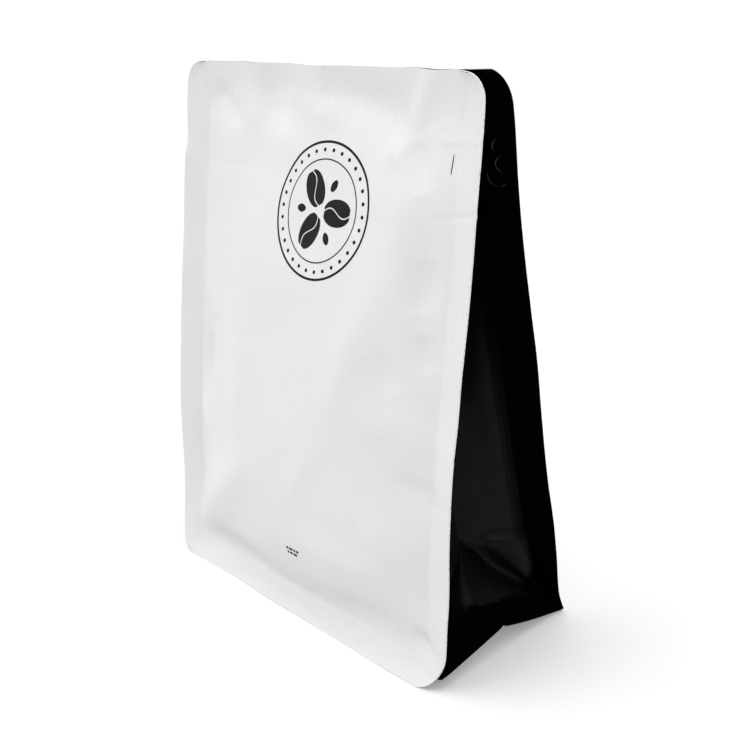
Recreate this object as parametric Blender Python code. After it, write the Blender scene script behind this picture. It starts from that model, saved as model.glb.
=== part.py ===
"""Coffee bag: a filled, flat-bottomed pouch with tucked side gussets and a sealed fin along every edge.

The front and back panels are sheets of white film. Between them is the pouch body, one closed solid whose
visible sides are the black gussets, with the black layer of every sealed fin and the base that it rests on.

Metres, +Z up. The origin is on the floor under the middle of the bag, X runs across the panels and the
front panel faces -Y. Sizes below are in millimetres and are turned into metres when a point is made.
"""

import math

import bmesh
import bpy

MM = 0.001

# Driving sizes.
WIDTH = 140.0
HEIGHT = 184.6
FIN_WIDTH = 9.5
FOOT_HEIGHT = 8.5
HEADER_HEIGHT = 19.0
TOP_RADIUS = 7.0
FRONT_FOOT_RADIUS = 10.0
BACK_FOOT_RADIUS = 2.0
FILM = 0.8
LAYER = 0.8
GAP = 0.3

# The side gusset: the width of film from a fin's seal to its middle crease, and the height below which the
# tuck opens out into a triangle. The triangle's lower edge is a welded strip that closes the gusset to the
# base: the strip's place, its width, how far it leans in, how high its lower edge is at the front corner,
# in the middle and at the back corner, and how clear its ends stay of the fins.
TUCK_WIDTH = 26.0
TUCK_HEIGHT = 36.0
SEAM_X = 69.2
SEAM_WIDTH = 9.3
SEAM_LEAN = 0.8
SEAM_RISES = (5.4, 10.2, 0.3)
SEAM_PLAY = 1.4

# Depth from the bag's middle plane at a height, as (height, depth), for a fin's cut edge and for the
# middle of a panel above its foot.
FRONT_EDGE = (
    (0, 33.7), (5, 30.7), (12, 28.5), (30, 26.7), (60, 24.2),
    (100, 18.4), (140, 11.5), (171, 6.9), (184.6, 5.2),
)
BACK_EDGE = (
    (0, 31.9), (4, 29.9), (10, 28.1), (24, 26.9), (62, 21.2),
    (100, 15.4), (135, 10.0), (170, 6.2), (184.6, 4.6),
)
FRONT_BELLY = (
    (8.5, 29.8), (13, 31.9), (20, 33.1), (34, 33.6), (60, 32.2), (90, 28.2),
    (120, 21.4), (150, 11.6), (165.6, 4.4), (184.6, 1.9),
)
BACK_BELLY = (
    (8.5, 28.2), (13, 30.2), (20, 31.4), (34, 31.8), (60, 30.2), (90, 26.2),
    (120, 20.0), (150, 11.0), (165.6, 4.4), (184.6, 1.9),
)

# How much nearer to the middle plane a side fin's seal lies than its cut edge, as (height, difference).
FIN_SPLAY = ((0, 0.0), (8.5, 0.9), (30, 1.4), (80, 2.0), (150, 1.6), (184.6, 0.8))

# The belly's cross-section is 1 - |x|^power: round over the coffee, flat with upturned ends in the header.
# Between this height and the header, the one shape passes into the other.
BELLY_POWER = 2.4
HEADER_POWER = 5.0
SHOULDER_HEIGHT = 140.0

# The foot fin's outer face is slightly hollow from the floor up: its depth follows this power of the height.
FOOT_POWER = 0.8

# The base leaves the front and back fins in a groove and meets the floor again behind it. It is flat up to a
# distance from the middle, and from there its ends rise to the side seams.
GROOVE_INSET = 4.0
GROOVE_RISE = 7.0
TOE_INSET = 8.0
BASE_FLAT_HALF = 42.0
BASE_END_POWER = 6

# Columns of points across a panel, as distances from its middle, and the rows between the rounded corners.
COLUMNS = (0.0, 12.0, 24.0, 35.0, 44.0, 51.0, 57.0)
CORNER_STEPS = 4
ROWS = (
    FOOT_HEIGHT, 13.0, 17.0, 22.0, 29.0, TUCK_HEIGHT, 46.0, 58.0, 72.0, 86.0, 100.0, 114.0, 128.0,
    SHOULDER_HEIGHT, 151.0, 159.0, HEIGHT - HEADER_HEIGHT, 171.5,
)

# How far from the seal to the crease the next point of a tucked gusset lies.
TUCK_FLAT = 0.88

HALF_WIDTH = WIDTH / 2
SEAL_X = HALF_WIDTH - FIN_WIDTH
SKIN = FILM + GAP

WHITE_FILM = ("white_film", (0.86, 0.86, 0.855), 0.55)
BLACK_FILM = ("black_film", (0.012, 0.012, 0.013), 0.5)


def curve_through(stations):
    """Returns a smooth function of height through the stations that never overshoots them."""
    heights = [station[0] for station in stations]
    values = [station[1] for station in stations]
    slopes = [(values[i + 1] - values[i]) / (heights[i + 1] - heights[i]) for i in range(len(values) - 1)]
    tangents = [slopes[0]]
    for before, after in zip(slopes, slopes[1:]):
        tangents.append(0.0 if before * after <= 0 else 2 * before * after / (before + after))
    tangents.append(slopes[-1])

    def value_at(height):
        height = min(max(height, heights[0]), heights[-1])
        i = max(k for k in range(len(slopes)) if height >= heights[k])
        span = heights[i + 1] - heights[i]
        t = (height - heights[i]) / span
        return (
            values[i] * (1 + 2 * t) * (1 - t) ** 2
            + values[i + 1] * t * t * (3 - 2 * t)
            + span * (tangents[i] * t * (1 - t) ** 2 + tangents[i + 1] * t * t * (t - 1))
        )

    return value_at


def smooth_step(value, start, end):
    """Returns 0 before start and 1 after end, with a smooth rise between them."""
    t = min(max((value - start) / (end - start), 0.0), 1.0)
    return t * t * (3 - 2 * t)


def mix(a, b, t):
    """Returns the number or the point that lies a share t of the way from a to b."""
    if isinstance(a, tuple):
        return tuple(mix(first, second, t) for first, second in zip(a, b))
    return a + (b - a) * t


splay_at = curve_through(FIN_SPLAY)


class Panel:
    """One flat sheet of film as it lies on the filled bag, on the front (side -1) or on the back (side 1)."""

    def __init__(self, side, edge, belly, foot_radius):
        self.side = side
        self.foot_radius = foot_radius
        self.edge_at = curve_through(edge)
        self.belly_at = curve_through(belly)

    def seal_depth(self, height):
        """Depth of the inner edge of the side fins' seal."""
        return self.edge_at(height) - splay_at(height)

    def middle_depth(self, height):
        """Depth of the panel's upright middle line, on the foot fin and above it."""
        if height >= FOOT_HEIGHT:
            return self.belly_at(height)
        return mix(self.edge_at(0), self.belly_at(FOOT_HEIGHT), (height / FOOT_HEIGHT) ** FOOT_POWER)

    def depth(self, x, height):
        """Depth of the panel's outer face."""
        across = abs(x) / SEAL_X
        if across >= 1:
            share = min((abs(x) - SEAL_X) / FIN_WIDTH, 1.0)
            return mix(self.seal_depth(height), self.edge_at(height), share)
        header_share = smooth_step(height, SHOULDER_HEIGHT, HEIGHT - HEADER_HEIGHT)
        power = mix(BELLY_POWER, HEADER_POWER, header_share)
        return mix(self.middle_depth(height), self.seal_depth(height), across**power)

    def half_width(self, height):
        """Half of the panel's width, which its rounded corners narrow at the top and at the foot."""
        for radius, rise in ((self.foot_radius, height), (TOP_RADIUS, HEIGHT - height)):
            if rise < radius:
                return HALF_WIDTH - radius + math.sqrt(radius**2 - (radius - rise) ** 2)
        return HALF_WIDTH

    def spread(self, x, height):
        """Moves a column near the edge inwards, so that the outer column follows the rounded corners."""
        inner = COLUMNS[-3]
        if abs(x) <= inner:
            return x
        share = (abs(x) - inner) / (HALF_WIDTH - inner)
        return math.copysign(mix(inner, self.half_width(height), share), x)

    def point(self, x, height, inset=0.0):
        """A point on the outer face, or inset behind it."""
        return (self.spread(x, height), self.side * (self.depth(x, height) - inset), height)

    def seal_point(self, height):
        """The line on the black layer where the gusset leaves the right-hand fin."""
        return self.point(SEAL_X, height, SKIN + LAYER)


def column_list():
    """Every column across a panel, from its left edge to its right edge."""
    right = [*COLUMNS, SEAL_X, HALF_WIDTH - FIN_WIDTH / 2, HALF_WIDTH]
    return [-x for x in reversed(right[1:])] + right


def row_list():
    """Every row of a panel from the floor up, close together round the corners."""
    turn = [1 - math.cos(k * math.pi / 2 / CORNER_STEPS) for k in range(CORNER_STEPS + 1)]
    foot = [FRONT_FOOT_RADIUS * rise for rise in turn]
    top = [HEIGHT - TOP_RADIUS * rise for rise in reversed(turn)]
    return sorted({*foot, *ROWS, *top})


def fill_between(ends, middle):
    """Seven points from the front end through the middle to the back end, evenly spaced on each half."""
    front, back = ends
    steps = (0, 1 / 3, 2 / 3)
    return [
        *(mix(front, middle, share) for share in steps),
        middle,
        *(mix(back, middle, share) for share in reversed(steps)),
    ]


def tuck_ends(panels, height):
    """Where the right-hand gusset is tucked in a V: a point near its crease on each half, and the crease.

    The depth of the V follows from the width of the film.
    """
    reach = (panels[0].seal_depth(height) + panels[1].seal_depth(height)) / 2
    crease = (SEAL_X - math.sqrt(TUCK_WIDTH**2 - reach**2), 0.0, height)
    return [mix(panel.seal_point(height), crease, TUCK_FLAT) for panel in panels], crease


def seam_ends(panels, up):
    """The ends and the middle of the right-hand seam strip, from its lower edge (up is 0) to its upper (1)."""
    front_rise, middle_rise, back_rise = (rise + SEAM_WIDTH * up for rise in SEAM_RISES)
    x = SEAM_X - SEAM_LEAN * up
    ends = [
        panel.point(x, rise, SKIN + LAYER + SEAM_PLAY)
        for panel, rise in zip(panels, (front_rise, back_rise))
    ]
    return ends, (x, 0.0, middle_rise)


def gusset_points(panels, height, side):
    """Nine points across one gusset, from the front fin's seal to the back fin's seal."""
    if height >= TUCK_HEIGHT:
        ends, middle = tuck_ends(panels, height)
    elif height <= FOOT_HEIGHT:
        ends, middle = seam_ends(panels, height / FOOT_HEIGHT)
    else:
        share = (height - FOOT_HEIGHT) / (TUCK_HEIGHT - FOOT_HEIGHT)
        low_ends, low_middle = seam_ends(panels, 1.0)
        high_ends, high_middle = tuck_ends(panels, TUCK_HEIGHT)
        ends = [mix(low, high, share) for low, high in zip(low_ends, high_ends)]
        middle = mix(low_middle, high_middle, share)
    front, back = (panel.seal_point(height) for panel in panels)
    return [(side * x, y, z) for x, y, z in (front, *fill_between(ends, middle), back)]


def side_rows(panels, side):
    """Rows of points over one side of the body: the front fin's layer, the gusset, the back fin's layer."""
    edge = side * HALF_WIDTH
    halfway = side * (HALF_WIDTH - FIN_WIDTH / 2)
    layer = ((edge, SKIN), (edge, SKIN + LAYER), (halfway, SKIN + LAYER))
    rows = []
    for height in row_list():
        front_fin, back_fin = ([panel.point(x, height, inset) for x, inset in layer] for panel in panels)
        rows.append([*front_fin, *gusset_points(panels, height, side), *reversed(back_fin)])
    return rows


def base_rows(panels):
    """Rows of points over the base, from the front fin to the back fin, one row for each gusset point.

    The base hangs from the fins in a groove, lies flat on the floor, and rises at its ends to the side seams.
    """
    front, back = panels
    front_y = -(front.edge_at(0) - SKIN - LAYER)
    back_y = back.edge_at(0) - SKIN - LAYER
    stations = [
        (front_y, 0.0),
        (front_y + GROOVE_INSET, GROOVE_RISE),
        (front_y + TOE_INSET, 0.0),
        (front_y / 3, 0.0),
        (0.0, 0.0),
        (back_y / 3, 0.0),
        (back_y - TOE_INSET, 0.0),
        (back_y - GROOVE_INSET, GROOVE_RISE),
        (back_y, 0.0),
    ]
    columns = [x for x in column_list() if abs(x) <= SEAL_X]
    ends = {side: gusset_points(panels, 0.0, side) for side in (-1, 1)}
    rows = []
    for index, (y, z) in enumerate(stations):
        row = []
        for x in columns:
            end = ends[1 if x > 0 else -1][index]
            stretch = mix(1.0, abs(end[0]) / SEAL_X, (abs(x) / SEAL_X) ** BASE_END_POWER)
            rise = smooth_step(abs(x), BASE_FLAT_HALF, SEAL_X)
            row.append((x * stretch, mix(y, end[1], rise), mix(z, end[2], rise)))
        rows.append(row)
    return rows


def add_grid(mesh, rows):
    """Adds a sheet of quads through the rows of points."""
    verts = [[mesh.verts.new([value * MM for value in point]) for point in row] for row in rows]
    for low, high in zip(verts, verts[1:]):
        for i in range(len(low) - 1):
            mesh.faces.new((low[i], low[i + 1], high[i + 1], high[i]))


def close_mesh(mesh):
    """Welds the sheets of a closed mesh into one skin with its faces pointing out."""
    bmesh.ops.remove_doubles(mesh, verts=mesh.verts, dist=1e-6)
    bmesh.ops.dissolve_degenerate(mesh, dist=1e-7, edges=mesh.edges)
    bmesh.ops.recalc_face_normals(mesh, faces=mesh.faces)


def body_mesh(panels):
    """The pouch body: its front and back under the panels, its two sides, its base and its top."""
    mesh = bmesh.new()
    columns = column_list()
    faces = [[[panel.point(x, height, SKIN) for x in columns] for height in row_list()] for panel in panels]
    for rows in faces:
        add_grid(mesh, rows)
    sides = {side: side_rows(panels, side) for side in (-1, 1)}
    for rows in sides.values():
        add_grid(mesh, rows)
    base = base_rows(panels)
    add_grid(mesh, base)
    left, right = sides[-1][0], sides[1][0]
    add_grid(mesh, [faces[0][0], [*left[1:3], *base[0], *reversed(right[1:3])]])
    add_grid(mesh, [faces[1][0], [left[-2], left[-3], *base[-1], right[-3], right[-2]]])
    left, right = sides[-1][-1], sides[1][-1]
    ring = [*faces[0][-1], *right[1:-1], *reversed(faces[1][-1]), *reversed(left[1:-1])]
    mesh.faces.new([mesh.verts.new([value * MM for value in point]) for point in ring])
    close_mesh(mesh)
    return mesh


def panel_mesh(panel):
    """A panel's sheet of film, with its rounded corners and its own thickness."""
    mesh = bmesh.new()
    outer = [[panel.point(x, height) for x in column_list()] for height in row_list()]
    inner = [[panel.point(x, height, FILM) for x in column_list()] for height in row_list()]
    add_grid(mesh, outer)
    add_grid(mesh, inner)
    for low, high in ((outer[0], inner[0]), (outer[-1], inner[-1])):
        add_grid(mesh, [low, high])
    for column in (0, -1):
        add_grid(mesh, [[row[column] for row in outer], [row[column] for row in inner]])
    close_mesh(mesh)
    return mesh


def film_material(name, colour, roughness):
    """A plain matt film."""
    material = bpy.data.materials.new(name)
    material.use_nodes = True
    shader = material.node_tree.nodes["Principled BSDF"]
    shader.inputs["Base Color"].default_value = (*colour, 1.0)
    shader.inputs["Roughness"].default_value = roughness
    shader.inputs["Metallic"].default_value = 0.0
    return material


def add_object(name, mesh, material):
    """Makes a named object from a finished mesh."""
    data = bpy.data.meshes.new(name)
    mesh.to_mesh(data)
    mesh.free()
    data.shade_smooth()
    data.set_sharp_from_angle(angle=math.radians(35))
    data.materials.append(material)
    bag_part = bpy.data.objects.new(name, data)
    bpy.context.scene.collection.objects.link(bag_part)
    return bag_part


def main():
    """Clears the scene and builds the bag."""
    for old in list(bpy.data.objects):
        bpy.data.objects.remove(old, do_unlink=True)
    front = Panel(-1, FRONT_EDGE, FRONT_BELLY, FRONT_FOOT_RADIUS)
    back = Panel(1, BACK_EDGE, BACK_BELLY, BACK_FOOT_RADIUS)
    white = film_material(*WHITE_FILM)
    black = film_material(*BLACK_FILM)
    bag = bpy.data.objects.new("coffee_bag", None)
    bpy.context.scene.collection.objects.link(bag)
    for name, mesh, material in (
        ("pouch_body", body_mesh((front, back)), black),
        ("front_panel", panel_mesh(front), white),
        ("back_panel", panel_mesh(back), white),
    ):
        add_object(name, mesh, material).parent = bag


main()
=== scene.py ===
"""Looks of a filled coffee bag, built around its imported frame.

The bag is a pouch of welded films: a white front panel, a white back panel, a black gusset folded inwards on
each side, and a black base. Every film is a thin sheet made as a grid of points and given its thickness.

Sizes are in millimetres, with X across the panels, the front at -Y and Z up. They become metres when a mesh
is made.
"""

import logging
import math
import random
from dataclasses import dataclass
from enum import Enum

import bpy
import numpy as np
from mathutils import Matrix, Vector


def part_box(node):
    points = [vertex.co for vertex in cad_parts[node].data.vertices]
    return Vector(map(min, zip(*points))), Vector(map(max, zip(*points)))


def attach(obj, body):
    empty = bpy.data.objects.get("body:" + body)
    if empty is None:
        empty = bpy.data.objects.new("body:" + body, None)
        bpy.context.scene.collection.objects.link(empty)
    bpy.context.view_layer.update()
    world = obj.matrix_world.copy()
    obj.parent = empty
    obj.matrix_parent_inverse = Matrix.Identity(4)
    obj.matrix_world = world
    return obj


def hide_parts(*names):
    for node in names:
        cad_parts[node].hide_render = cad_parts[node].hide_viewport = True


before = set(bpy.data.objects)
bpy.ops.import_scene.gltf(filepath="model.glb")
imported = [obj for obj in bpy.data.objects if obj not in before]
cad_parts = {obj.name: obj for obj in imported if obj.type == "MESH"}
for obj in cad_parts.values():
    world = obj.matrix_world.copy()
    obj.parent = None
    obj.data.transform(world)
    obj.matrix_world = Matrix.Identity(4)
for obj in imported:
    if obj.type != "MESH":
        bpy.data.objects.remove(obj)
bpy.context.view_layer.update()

LOG = logging.getLogger("coffee_bag")
MM = 0.001
Values = np.ndarray


def smooth_step(value: Values, start: float, end: float) -> Values:
    """A smooth rise from 0 at start to 1 at end.

    Args:
        value: Where the rise is read.
        start: Where it begins.
        end: Where it is complete, on either side of start.

    Returns:
        The height of the rise, of the shape of value.
    """
    share = np.clip((value - start) / (end - start), 0.0, 1.0)
    return share * share * (3.0 - 2.0 * share)


def mix(first: Values, second: Values, share: Values) -> Values:
    """The value or point a share of the way from the first to the second."""
    return first + (second - first) * share


@dataclass(frozen=True)
class Profile:
    """A smooth curve of one size against another that never overshoots its stations."""

    stations: tuple[tuple[float, float], ...]

    def at(self, place: Values) -> Values:
        """Reads the curve.

        Args:
            place: Where it is read, in the stations' own units.

        Returns:
            The size there, held constant past the first and the last station.
        """
        places = np.array([station[0] for station in self.stations], float)
        sizes = np.array([station[1] for station in self.stations], float)
        spans = np.diff(places)
        slopes = np.diff(sizes) / spans
        tangents = np.zeros(len(places))
        tangents[0], tangents[-1] = slopes[0], slopes[-1]
        product = slopes[:-1] * slopes[1:]
        total = np.where(product > 0, slopes[:-1] + slopes[1:], 1.0)
        tangents[1:-1] = np.where(product > 0, 2 * product / total, 0.0)
        place = np.clip(place, places[0], places[-1])
        i = np.clip(np.searchsorted(places, place, side="right") - 1, 0, len(slopes) - 1)
        t = (place - places[i]) / spans[i]
        ends = sizes[i] * (1 + 2 * t) * (1 - t) ** 2 + sizes[i + 1] * t * t * (3 - 2 * t)
        return ends + spans[i] * (tangents[i] * t * (1 - t) ** 2 + tangents[i + 1] * t * t * (t - 1))


class Form(Enum):
    """How a relief's cross-section runs away from its line."""

    SWELL = "rounded"
    FOLD = "rounded, and lower towards its ends"
    CREASE = "pinched"


@dataclass(frozen=True)
class Relief:
    """A swell, fold, dent or crease in a film, along a line between two points of the panel.

    The line runs from start to end, both (x, z). Its middle bows sideways by bow. The height is out of the
    film's face, so a dent's is negative.
    """

    start: tuple[float, float]
    end: tuple[float, float]
    width: float
    height: float
    form: Form = Form.FOLD
    bow: float = 0.0

    def at(self, x: Values, z: Values) -> Values:
        """The relief's height at points of the panel."""
        run = np.array(self.end, float) - np.array(self.start, float)
        length = float(np.hypot(*run))
        along_x, along_z = run / length
        from_x, from_z = x - self.start[0], z - self.start[1]
        along = (from_x * along_x + from_z * along_z) / length
        held = np.clip(along, 0.0, 1.0)
        across = from_z * along_x - from_x * along_z - self.bow * 4 * held * (1 - held)
        past = (along - held) * length
        reach = np.hypot(across, past) / self.width
        if self.form is Form.SWELL:
            return self.height * np.exp(-(reach**2))
        if self.form is Form.FOLD:
            return self.height * np.exp(-(reach**2)) * (0.3 + 0.7 * np.sin(math.pi * held) ** 0.8)
        return self.height * np.exp(-reach) * smooth_step(reach, 7.0, 3.0)


@dataclass(frozen=True)
class Ripple:
    """A slow unevenness of a film: waves of many directions, the same on every run."""

    seed: int
    height: float
    wavelengths: tuple[float, float]
    count: int = 24

    def at(self, x: Values, z: Values) -> Values:
        """The unevenness at points of the film."""
        draw = random.Random(self.seed)
        total = np.zeros(np.broadcast(x, z).shape)
        for _ in range(self.count):
            wavelength = draw.uniform(*self.wavelengths)
            turn = draw.uniform(0.0, 2 * math.pi)
            phase = draw.uniform(0.0, 2 * math.pi)
            total += np.cos(2 * math.pi * (x * math.cos(turn) + z * math.sin(turn)) / wavelength + phase)
        return self.height * total / math.sqrt(self.count)


@dataclass(frozen=True)
class BagSizes:
    """The sizes that every film of the bag shares."""

    half_width: float
    height: float
    fin_width: float = 9.5
    foot_height: float = 8.5
    header_height: float = 19.0
    film: float = 0.25
    weld_gap: float = 0.03

    @classmethod
    def from_frame(cls) -> "BagSizes":
        """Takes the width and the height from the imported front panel."""
        low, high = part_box("front_panel")
        return cls(half_width=high[0] / MM, height=high[2] / MM)

    @property
    def seal_x(self) -> float:
        """Where the side fins' seal begins, from the middle."""
        return self.half_width - self.fin_width

    @property
    def header_start(self) -> float:
        """The height at which the flat header begins."""
        return self.height - self.header_height

    @property
    def layer(self) -> float:
        """How far behind a panel's outer face the visible face of the black layer lies."""
        return 2 * self.film + self.weld_gap


@dataclass(frozen=True)
class PanelShape:
    """The outer face of the front film (side -1) or of the back film (side 1)."""

    sizes: BagSizes
    side: int
    foot_corner: tuple[float, float]
    top_corner: tuple[float, float]
    edge: Profile
    belly: Profile
    splay: Profile
    reliefs: tuple[Relief | Ripple, ...] = ()
    belly_power: float = 2.4
    header_power: float = 5.0
    shoulder_height: float = 140.0
    foot_power: float = 0.8
    round_from: float = 51.0
    least_depth: tuple[float, float] = (0.14, 0.7)
    closing: float = 0.12

    def half_width_at(self, z: Values) -> Values:
        """Half of the panel's width, which its rounded corners narrow at the top and at the foot."""
        width = np.full(np.shape(z), self.sizes.half_width)
        for (across, up), rise in ((self.foot_corner, z), (self.top_corner, self.sizes.height - z)):
            missing = np.clip(1 - rise / up, 0.0, 1.0)
            width = width - across * (1 - np.sqrt(1 - missing**2))
        return width

    def spread(self, x: Values, z: Values) -> Values:
        """Moves columns near the edge inwards, so that the outer one follows the rounded corners."""
        outer = self.half_width_at(z)
        share = (np.abs(x) - self.round_from) / (self.sizes.half_width - self.round_from)
        return np.where(share > 0, np.sign(x) * mix(self.round_from, outer, share), x)

    def seal_depth(self, z: Values) -> Values:
        """Depth of the inner edge of the side fins' seal."""
        return self.edge.at(z) - self.splay.at(z)

    def plain_depth(self, x: Values, z: Values) -> Values:
        """Depth of the outer face without its reliefs."""
        sizes = self.sizes
        foot_share = np.clip(z / sizes.foot_height, 0.0, 1.0) ** self.foot_power
        foot = mix(self.edge.at(np.zeros(1)), self.belly.at(np.full(1, sizes.foot_height)), foot_share)
        middle = np.where(z < sizes.foot_height, foot, self.belly.at(z))
        header_share = smooth_step(z, self.shoulder_height, sizes.header_start)
        power = mix(self.belly_power, self.header_power, header_share)
        across = np.abs(x) / sizes.seal_x
        panel = mix(middle, self.seal_depth(z), np.minimum(across, 1.0) ** power)
        share = np.clip((np.abs(x) - sizes.seal_x) / sizes.fin_width, 0.0, 1.0)
        return np.where(across > 1, mix(self.seal_depth(z), self.edge.at(z), share), panel)

    def depth(self, x: Values, z: Values) -> Values:
        """Depth of the outer face with its reliefs, never less than the layers behind it need."""
        total = self.plain_depth(x, z)
        placed = self.spread(x, z)
        for relief in self.reliefs:
            total = total + relief.at(placed, z)
        least = mix(*self.least_depth, smooth_step(np.abs(x), 26.0, 32.0))
        spare = (total - least) / self.closing
        return least + self.closing * (np.maximum(spare, 0.0) + np.log1p(np.exp(-np.abs(spare))))

    def surface(self, x: Values, z: Values, inset: float | Values = 0.0) -> Values:
        """Points of the outer face, or of a face behind it.

        Args:
            x: Columns, before the rounded corners move them.
            z: Heights.
            inset: How far behind the outer face.

        Returns:
            The points, with X, Y and Z along the last axis.
        """
        x, z = np.broadcast_arrays(np.asarray(x, float), np.asarray(z, float))
        return np.stack([self.spread(x, z), self.side * (self.depth(x, z) - inset), z], axis=-1)


# The two panels' shapes -----------------------------------------------------------------------------------

FRONT_EDGE = Profile((
    (0, 33.7), (5, 30.7), (12, 28.5), (30, 26.7), (60, 24.2),
    (100, 18.4), (140, 11.5), (171, 6.9), (184.6, 5.2),
))
BACK_EDGE = Profile((
    (0, 31.9), (4, 29.9), (10, 28.1), (24, 26.9), (62, 21.2),
    (100, 15.4), (135, 10.0), (170, 6.2), (184.6, 4.6),
))
FRONT_BELLY = Profile((
    (8.5, 28.5), (11, 29.2), (15, 30.9), (20, 32.9), (27, 34.9), (35, 36.0), (46, 36.0), (66, 33.6), (92, 28.6),
    (120, 21.4), (142, 14.2), (156, 8.6), (165.6, 4.6), (172, 2.2), (178, 0.7), (184.6, 0.3),
))
BACK_BELLY = Profile((
    (8.5, 27.6), (12, 28.9), (17, 30.5), (24, 31.6), (36, 31.9), (60, 30.3), (90, 26.2),
    (120, 20.0), (142, 13.4), (156, 8.2), (165.6, 4.4), (172, 2.0), (178, 0.7), (184.6, 0.3),
))
FIN_SPLAY = Profile((
    (0, 0.0), (8.5, 0.9), (30, 1.4), (80, 2.0), (140, 2.2), (165, 3.2), (175, 3.9), (184.6, 3.9),
))

# The left fins are pressed together at the top, and lean forward with the header.
LEFT_FINS = ((-72, 194), (-72, 168), 20)

# The header leans and waves as a whole: every film follows these.
HEADER_SWAY = (
    Relief((0, 192), (0, 176), 22, 2.4, Form.SWELL),
    Relief((-36, 188), (-34, 169), 6, 1.6, Form.SWELL),
    Relief((-21, 188), (-19, 171), 6, -1.5, Form.SWELL),
    Relief((0, 188), (2, 172), 7, 1.2, Form.SWELL),
    Relief((6, 181), (36, 168), 7, -2.0, Form.SWELL),
    Relief((50, 188), (37, 162), 4.5, 2.0, Form.SWELL),
    Relief((-27, 174), (-26, 171), 3, -0.5, Form.SWELL),
    Relief((-54, 174), (-46, 168), 4, -0.9, Form.SWELL),
    Relief((4, 176), (24, 173), 4, -0.7, Form.SWELL),
    Relief(*LEFT_FINS, 3.9, Form.SWELL),
)


def swayed(points: Values) -> Values:
    """Leans and waves points with the header.

    Args:
        points: Points with X, Y and Z along the last axis.

    Returns:
        The same points, moved along Y.
    """
    y = points[..., 1]
    for swell in HEADER_SWAY:
        y = y - swell.at(points[..., 0], points[..., 2])
    return np.stack([points[..., 0], y, points[..., 2]], axis=-1)



# The front film's dents and folds, as its filling and the welding pressed them.
FRONT_RELIEFS = (
    Ripple(3, 0.28, (24.0, 60.0)),
    Ripple(4, 0.02, (6.0, 14.0)),
    Relief(*LEFT_FINS, -3.9, Form.SWELL),
    Relief((49, 186), (38, 112), 9.0, 2.0),
    Relief((-60, 163), (22, 158), 5.0, 0.5),
    Relief((-60, 151), (-28, 151.5), 0.9, -0.22, Form.CREASE),
    Relief((53, 165.3), (69, 166.8), 0.55, 0.4, Form.CREASE),
    Relief((53, 144), (69.5, 147), 0.65, -0.4, Form.CREASE),
    Relief((61.0, 141), (61.0, 18), 0.8, -0.3, Form.CREASE),
    Relief((-61.0, 160), (-61.0, 14), 0.8, -0.35, Form.CREASE),
    Relief((45, 165), (49, 151), 5.0, -1.9),
    Relief((52, 133), (52.5, 117), 4.6, -2.2),
    Relief((53, 111), (56.5, 100), 4.0, -1.8),
    Relief((40, 104), (46, 92), 5.5, -1.4),
    Relief((31, 84), (62, 79), 6.5, 1.5),
    Relief((48, 67), (62, 60), 4.6, -1.7),
    Relief((38, 50), (58, 40), 8.0, 1.8),
    Relief((31, 116), (23, 82), 7.0, 1.6, bow=1.0),
    Relief((17, 68), (6, 49), 4.6, 0.8),
    Relief((-28, 140), (-26, 96), 9.0, 1.3),
    Relief((-26, 98), (-22, 50), 9.0, 2.1),
    Relief((-18, 52), (-66, 6), 8.0, 3.0, bow=-2.0),
    Relief((-51, 93), (-53, 70), 5.5, -3.4),
    Relief((-54, 68), (-50, 54), 5.0, 1.4),
    Relief((-52, 112), (-42, 98), 6.0, 1.5),
    Relief((55, 15.5), (62, 11), 3.0, -2.0),
    Relief((-59, 10.5), (-18, 12.5), 4.6, -2.0),
    Relief((10, 35), (48, 31), 7.0, 1.6),
    Relief((16, 14), (48, 15), 5.0, -1.6),
    Relief((-63, 3), (-60, 5), 0.7, -0.4, Form.CREASE),
    Relief((-71, 150), (-71, 4), 6.0, 1.6, Form.SWELL),
)

BACK_RELIEFS = (
    Ripple(7, 0.3, (24.0, 60.0)),
    Ripple(8, 0.02, (6.0, 14.0)),
    Relief(*LEFT_FINS, -3.4, Form.SWELL),
    Relief((-58, 164), (58, 161), 5.0, 0.9, Form.SWELL),
    Relief((-44, 162), (-34, 140), 6.0, -1.6),
    Relief((10, 164), (22, 138), 7.0, 1.8),
    Relief((61.0, 150), (61.0, 14), 0.8, -0.4, Form.CREASE),
    Relief((-61.0, 150), (-61.0, 14), 0.8, -0.4, Form.CREASE),
    Relief((-60, 150.5), (-26, 152), 0.9, -0.25, Form.CREASE),
    Relief((-32, 122), (-6, 62), 8.5, 2.4, bow=-3.0),
    Relief((26, 112), (30, 44), 7.5, 2.1, bow=2.0),
    Relief((-55, 106), (-52, 92), 4.2, -1.8),
    Relief((54, 92), (51, 76), 4.2, -1.9),
    Relief((52, 62), (56, 50), 4.0, -1.2),
    Relief((-50, 66), (-54, 54), 5.0, 1.3),
    Relief((-20, 142), (8, 134), 6.0, 1.2),
    Relief((22, 48), (60, 12), 8.0, 2.2, bow=2.0),
    Relief((-58, 13), (-36, 11), 4.0, -1.8),
    Relief((40, 11), (60, 14), 3.6, -1.6),
    Relief((-30, 22), (4, 18), 6.5, -1.1),
)


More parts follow.
